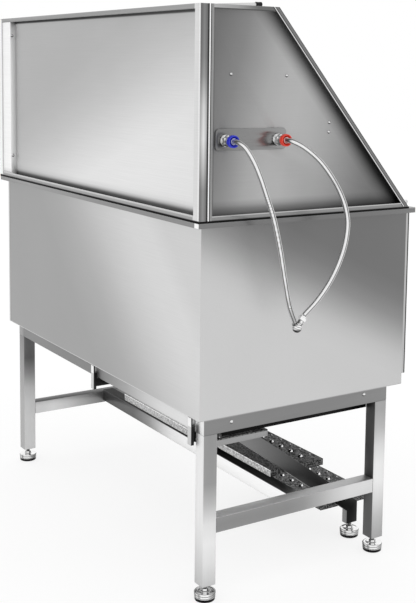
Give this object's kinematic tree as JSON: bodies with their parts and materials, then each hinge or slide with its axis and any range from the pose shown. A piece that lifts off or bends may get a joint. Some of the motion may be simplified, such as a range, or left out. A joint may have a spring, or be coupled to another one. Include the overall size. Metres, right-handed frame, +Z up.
{
  "type": "pet bathtub",
  "caption": "Raised stainless steel grooming tub on a tube frame, with splash walls on the sides and rear, a lifting front door, a wall mixer with supply hoses, and hook-on steps stored below.",
  "frame": {"origin": "on the floor, under the middle of the tub's rim", "axes": "+Z up; +X along the length, away from the plumbing end; +Y from the front, with the door, to the rear splash wall"},
  "size_m": [1.3577, 0.674, 1.4665],
  "materials": {
    "sheet_steel": "satin brushed stainless sheet",
    "tube_steel": "satin brushed stainless tube and strip",
    "chrome_plate": "polished chrome plate",
    "steel_braid": "fine woven steel braid",
    "black_rubber": "matt black rubber",
    "black_plastic": "semi-matt black plastic",
    "blue_plastic": "glossy blue plastic",
    "red_plastic": "glossy red plastic"
  },
  "bodies": {
    "tub": {"basin": "sheet_steel", "rear_splash_wall": "sheet_steel", "plumbing_end_wall": "sheet_steel", "far_end_wall": "sheet_steel", "door_guide_left": "sheet_steel", "door_guide_right": "sheet_steel", "door_sill": "sheet_steel", "plumbing_plate": "sheet_steel", "soap_tray": "sheet_steel", "drain_body": "chrome_plate", "mixer_body": "chrome_plate", "inlet_cold": "chrome_plate", "inlet_hot": "chrome_plate", "hose_union": "chrome_plate", "hose_nut_hot": "chrome_plate", "sprayer_holder": "chrome_plate", "leg_rear_near": "tube_steel", "leg_rear_far": "tube_steel", "leg_front_near": "tube_steel", "leg_front_far": "tube_steel", "end_rail_near": "tube_steel", "end_stretcher_near": "tube_steel", "end_rail_far": "tube_steel", "end_stretcher_far": "tube_steel", "rear_rail": "tube_steel", "front_rail": "tube_steel", "long_stretcher": "tube_steel", "leash_rod": "tube_steel", "leash_rod_cap": "black_plastic", "nut_cold": "blue_plastic", "nut_hot": "red_plastic", "hose_cold": "steel_braid", "hose_hot": "steel_braid"},
    "door": {"door_panel": "sheet_steel", "door_pull": "sheet_steel"},
    "grate_near": {"floor_grate_near": "sheet_steel"},
    "grate_far": {"floor_grate_far": "sheet_steel"},
    "strainer": {"drain_strainer": "chrome_plate"},
    "valve_cold": {"handle_cold": "chrome_plate"},
    "valve_hot": {"handle_hot": "chrome_plate"},
    "steps": {"steps_stringer_near": "tube_steel", "steps_stringer_far": "tube_steel", "steps_hook_near": "tube_steel", "steps_hook_far": "tube_steel", "steps_hook_bar": "tube_steel", "steps_tread_top": "sheet_steel", "steps_tread_middle": "sheet_steel", "steps_tread_bottom": "sheet_steel"},
    "foot_rear_near": {"foot_cup_rear_near": "chrome_plate", "foot_pad_rear_near": "black_rubber"},
    "foot_rear_far": {"foot_cup_rear_far": "chrome_plate", "foot_pad_rear_far": "black_rubber"},
    "foot_front_near": {"foot_cup_front_near": "chrome_plate", "foot_pad_front_near": "black_rubber"},
    "foot_front_far": {"foot_cup_front_far": "chrome_plate", "foot_pad_front_far": "black_rubber"},
    "foot_steps_near": {"foot_cup_steps_near": "chrome_plate", "foot_pad_steps_near": "black_rubber"},
    "foot_steps_far": {"foot_cup_steps_far": "chrome_plate", "foot_pad_steps_far": "black_rubber"}
  },
  "joints": [
    {"name": "door_lift", "type": "slide", "parent": "tub", "child": "door", "axis": [0, 0, 1], "range_m": [0, 0.34]},
    {"name": "grate_near_lift", "type": "slide", "parent": "tub", "child": "grate_near", "axis": [0, 0, 1], "range_m": [0, 0.3]},
    {"name": "grate_far_lift", "type": "slide", "parent": "tub", "child": "grate_far", "axis": [0, 0, 1], "range_m": [0, 0.3]},
    {"name": "strainer_lift", "type": "slide", "parent": "tub", "child": "strainer", "axis": [0, 0, 1], "range_m": [0, 0.1]},
    {"name": "valve_cold_turn", "type": "hinge", "parent": "tub", "child": "valve_cold", "pos_m": [-0.5277, 0.257, 1.134], "axis": [1, 0, 0], "range_deg": [0, 90]},
    {"name": "valve_hot_turn", "type": "hinge", "parent": "tub", "child": "valve_hot", "pos_m": [-0.5277, 0.107, 1.134], "axis": [1, 0, 0], "range_deg": [0, 90]},
    {"name": "steps_unhook", "type": "slide", "parent": "tub", "child": "steps", "axis": [0, 1, 0], "range_m": [0, 0.045]},
    {"name": "foot_rear_near_level", "type": "slide", "parent": "tub", "child": "foot_rear_near", "axis": [0, 0, -1], "range_m": [0, 0.02]},
    {"name": "foot_rear_far_level", "type": "slide", "parent": "tub", "child": "foot_rear_far", "axis": [0, 0, -1], "range_m": [0, 0.02]},
    {"name": "foot_front_near_level", "type": "slide", "parent": "tub", "child": "foot_front_near", "axis": [0, 0, -1], "range_m": [0, 0.02]},
    {"name": "foot_front_far_level", "type": "slide", "parent": "tub", "child": "foot_front_far", "axis": [0, 0, -1], "range_m": [0, 0.02]},
    {"name": "foot_steps_near_level", "type": "slide", "parent": "steps", "child": "foot_steps_near", "axis": [0, 0, -1], "range_m": [0, 0.02]},
    {"name": "foot_steps_far_level", "type": "slide", "parent": "steps", "child": "foot_steps_far", "axis": [0, 0, -1], "range_m": [0, 0.02]}
  ]
}
